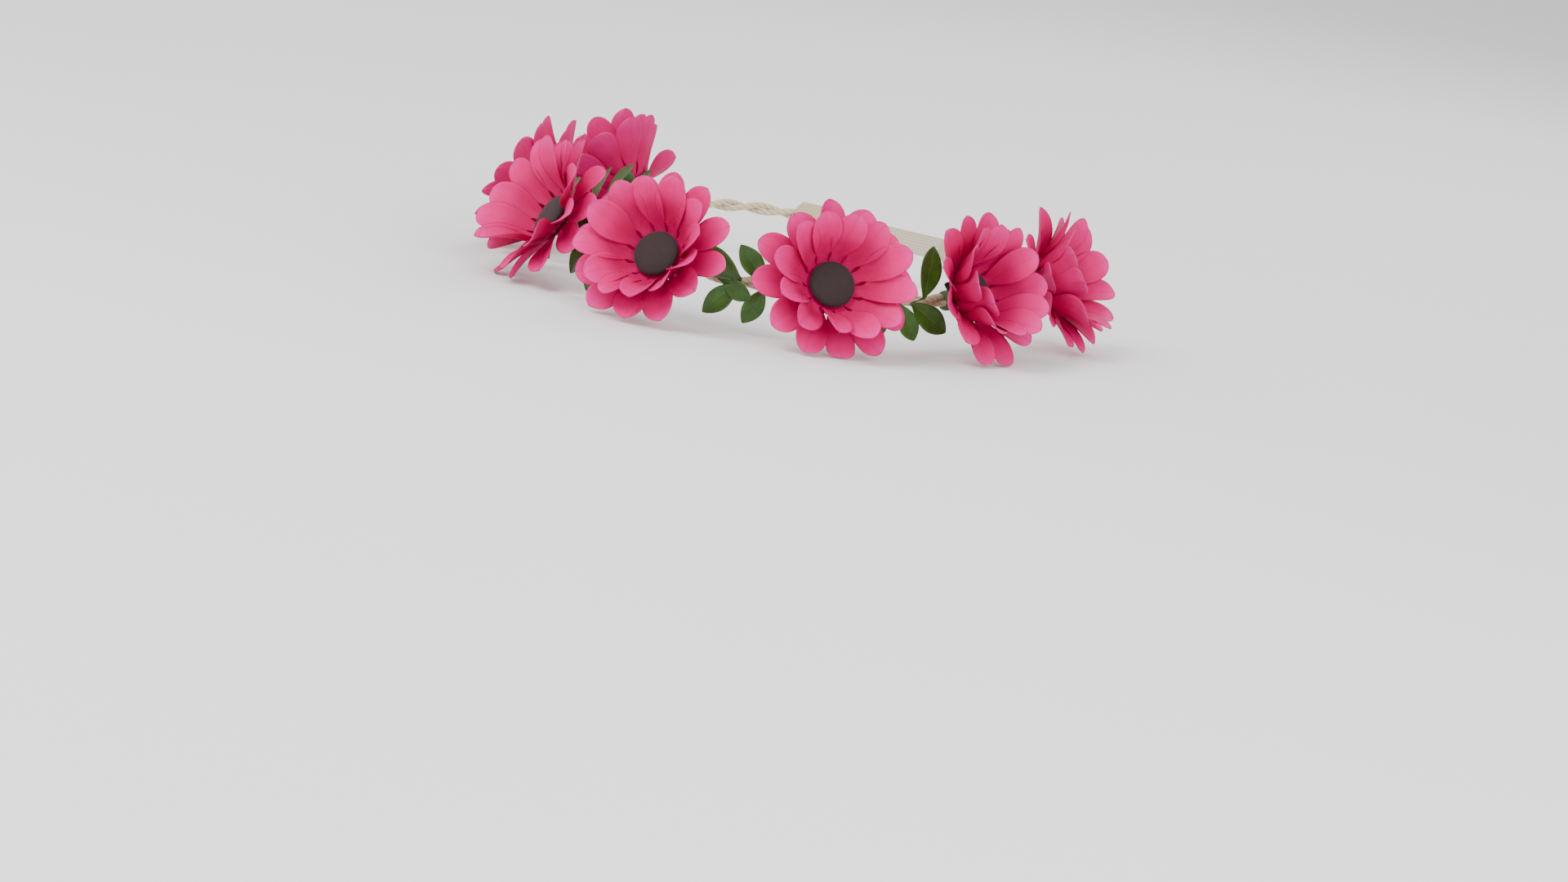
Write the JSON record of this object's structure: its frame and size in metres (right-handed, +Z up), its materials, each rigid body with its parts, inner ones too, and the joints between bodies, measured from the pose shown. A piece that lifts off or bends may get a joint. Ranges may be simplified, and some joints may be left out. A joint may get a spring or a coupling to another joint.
{
  "type": "flower crown",
  "caption": "Hair crown of pink fabric daisies with dark centres and green leaf sprigs on a cream twisted cord, closed by an elastic band at the back.",
  "frame": {"origin": "centre of the bounding box, on the plane the crown rests on", "axes": "+Z up through the head opening, normal to the ring; -Y towards the front flower; +X to the right for someone looking at the front flower"},
  "size_m": [0.2134, 0.2038, 0.0476],
  "materials": {
    "petal_satin": "satin",
    "button_felt": "matte",
    "calyx_plastic": "matte",
    "stem_plastic": "matte",
    "leaf_fabric": "satin",
    "cord_cotton": "matte",
    "wrap_thread": "matte",
    "elastic_knit": "matte"
  },
  "bodies": {
    "crown_band": {"cord_strand_a": "cord_cotton", "cord_strand_b": "cord_cotton", "elastic_band": "elastic_knit", "end_wrap_left": "wrap_thread", "end_wrap_right": "wrap_thread", "stem_left_3": "stem_plastic", "stem_left_2": "stem_plastic", "stem_left_1": "stem_plastic", "stem_front": "stem_plastic", "stem_right_1": "stem_plastic", "stem_right_2": "stem_plastic", "stem_right_3": "stem_plastic", "leaf_sprig_1a": "leaf_fabric", "leaf_sprig_1b": "leaf_fabric", "leaf_sprig_1c": "leaf_fabric", "leaf_sprig_2a": "leaf_fabric", "leaf_sprig_2b": "leaf_fabric", "leaf_sprig_2c": "leaf_fabric", "leaf_sprig_3a": "leaf_fabric", "leaf_sprig_3b": "leaf_fabric", "leaf_sprig_3c": "leaf_fabric", "leaf_sprig_4a": "leaf_fabric", "leaf_sprig_4b": "leaf_fabric", "leaf_sprig_4c": "leaf_fabric", "leaf_sprig_5a": "leaf_fabric", "leaf_sprig_5b": "leaf_fabric", "leaf_sprig_5c": "leaf_fabric", "leaf_sprig_6a": "leaf_fabric", "leaf_sprig_6b": "leaf_fabric", "leaf_sprig_6c": "leaf_fabric"},
    "flower_left_3": {"petals_outer_left_3": "petal_satin", "petals_inner_left_3": "petal_satin", "centre_button_left_3": "button_felt", "calyx_left_3": "calyx_plastic"},
    "flower_left_2": {"petals_outer_left_2": "petal_satin", "petals_inner_left_2": "petal_satin", "centre_button_left_2": "button_felt", "calyx_left_2": "calyx_plastic"},
    "flower_left_1": {"petals_outer_left_1": "petal_satin", "petals_inner_left_1": "petal_satin", "centre_button_left_1": "button_felt", "calyx_left_1": "calyx_plastic"},
    "flower_front": {"petals_outer_front": "petal_satin", "petals_inner_front": "petal_satin", "centre_button_front": "button_felt", "calyx_front": "calyx_plastic"},
    "flower_right_1": {"petals_outer_right_1": "petal_satin", "petals_inner_right_1": "petal_satin", "centre_button_right_1": "button_felt", "calyx_right_1": "calyx_plastic"},
    "flower_right_2": {"petals_outer_right_2": "petal_satin", "petals_inner_right_2": "petal_satin", "centre_button_right_2": "button_felt", "calyx_right_2": "calyx_plastic"},
    "flower_right_3": {"petals_outer_right_3": "petal_satin", "petals_inner_right_3": "petal_satin", "centre_button_right_3": "button_felt", "calyx_right_3": "calyx_plastic"}
  },
  "joints": [
    {"name": "turn_left_3", "type": "hinge", "parent": "crown_band", "child": "flower_left_3", "pos_m": [-0.08225, 0.0471, 0.02054], "axis": [-0.8848, 0.158, 0.4384], "continuous": true},
    {"name": "turn_left_2", "type": "hinge", "parent": "crown_band", "child": "flower_left_2", "pos_m": [-0.07976, -0.00815, 0.02054], "axis": [-0.8664, -0.239, 0.4384], "continuous": true},
    {"name": "turn_left_1", "type": "hinge", "parent": "crown_band", "child": "flower_left_1", "pos_m": [-0.0519, -0.05634, 0.02054], "axis": [-0.6219, -0.6489, 0.4384], "continuous": true},
    {"name": "turn_front", "type": "hinge", "parent": "crown_band", "child": "flower_front", "pos_m": [0, -0.07823, 0.02054], "axis": [0, -0.8988, 0.4384], "continuous": true},
    {"name": "turn_right_1", "type": "hinge", "parent": "crown_band", "child": "flower_right_1", "pos_m": [0.0519, -0.05634, 0.02054], "axis": [0.6219, -0.6489, 0.4384], "continuous": true},
    {"name": "turn_right_2", "type": "hinge", "parent": "crown_band", "child": "flower_right_2", "pos_m": [0.07976, -0.00815, 0.02054], "axis": [0.8664, -0.239, 0.4384], "continuous": true},
    {"name": "turn_right_3", "type": "hinge", "parent": "crown_band", "child": "flower_right_3", "pos_m": [0.08225, 0.0471, 0.02054], "axis": [0.8848, 0.158, 0.4384], "continuous": true}
  ]
}
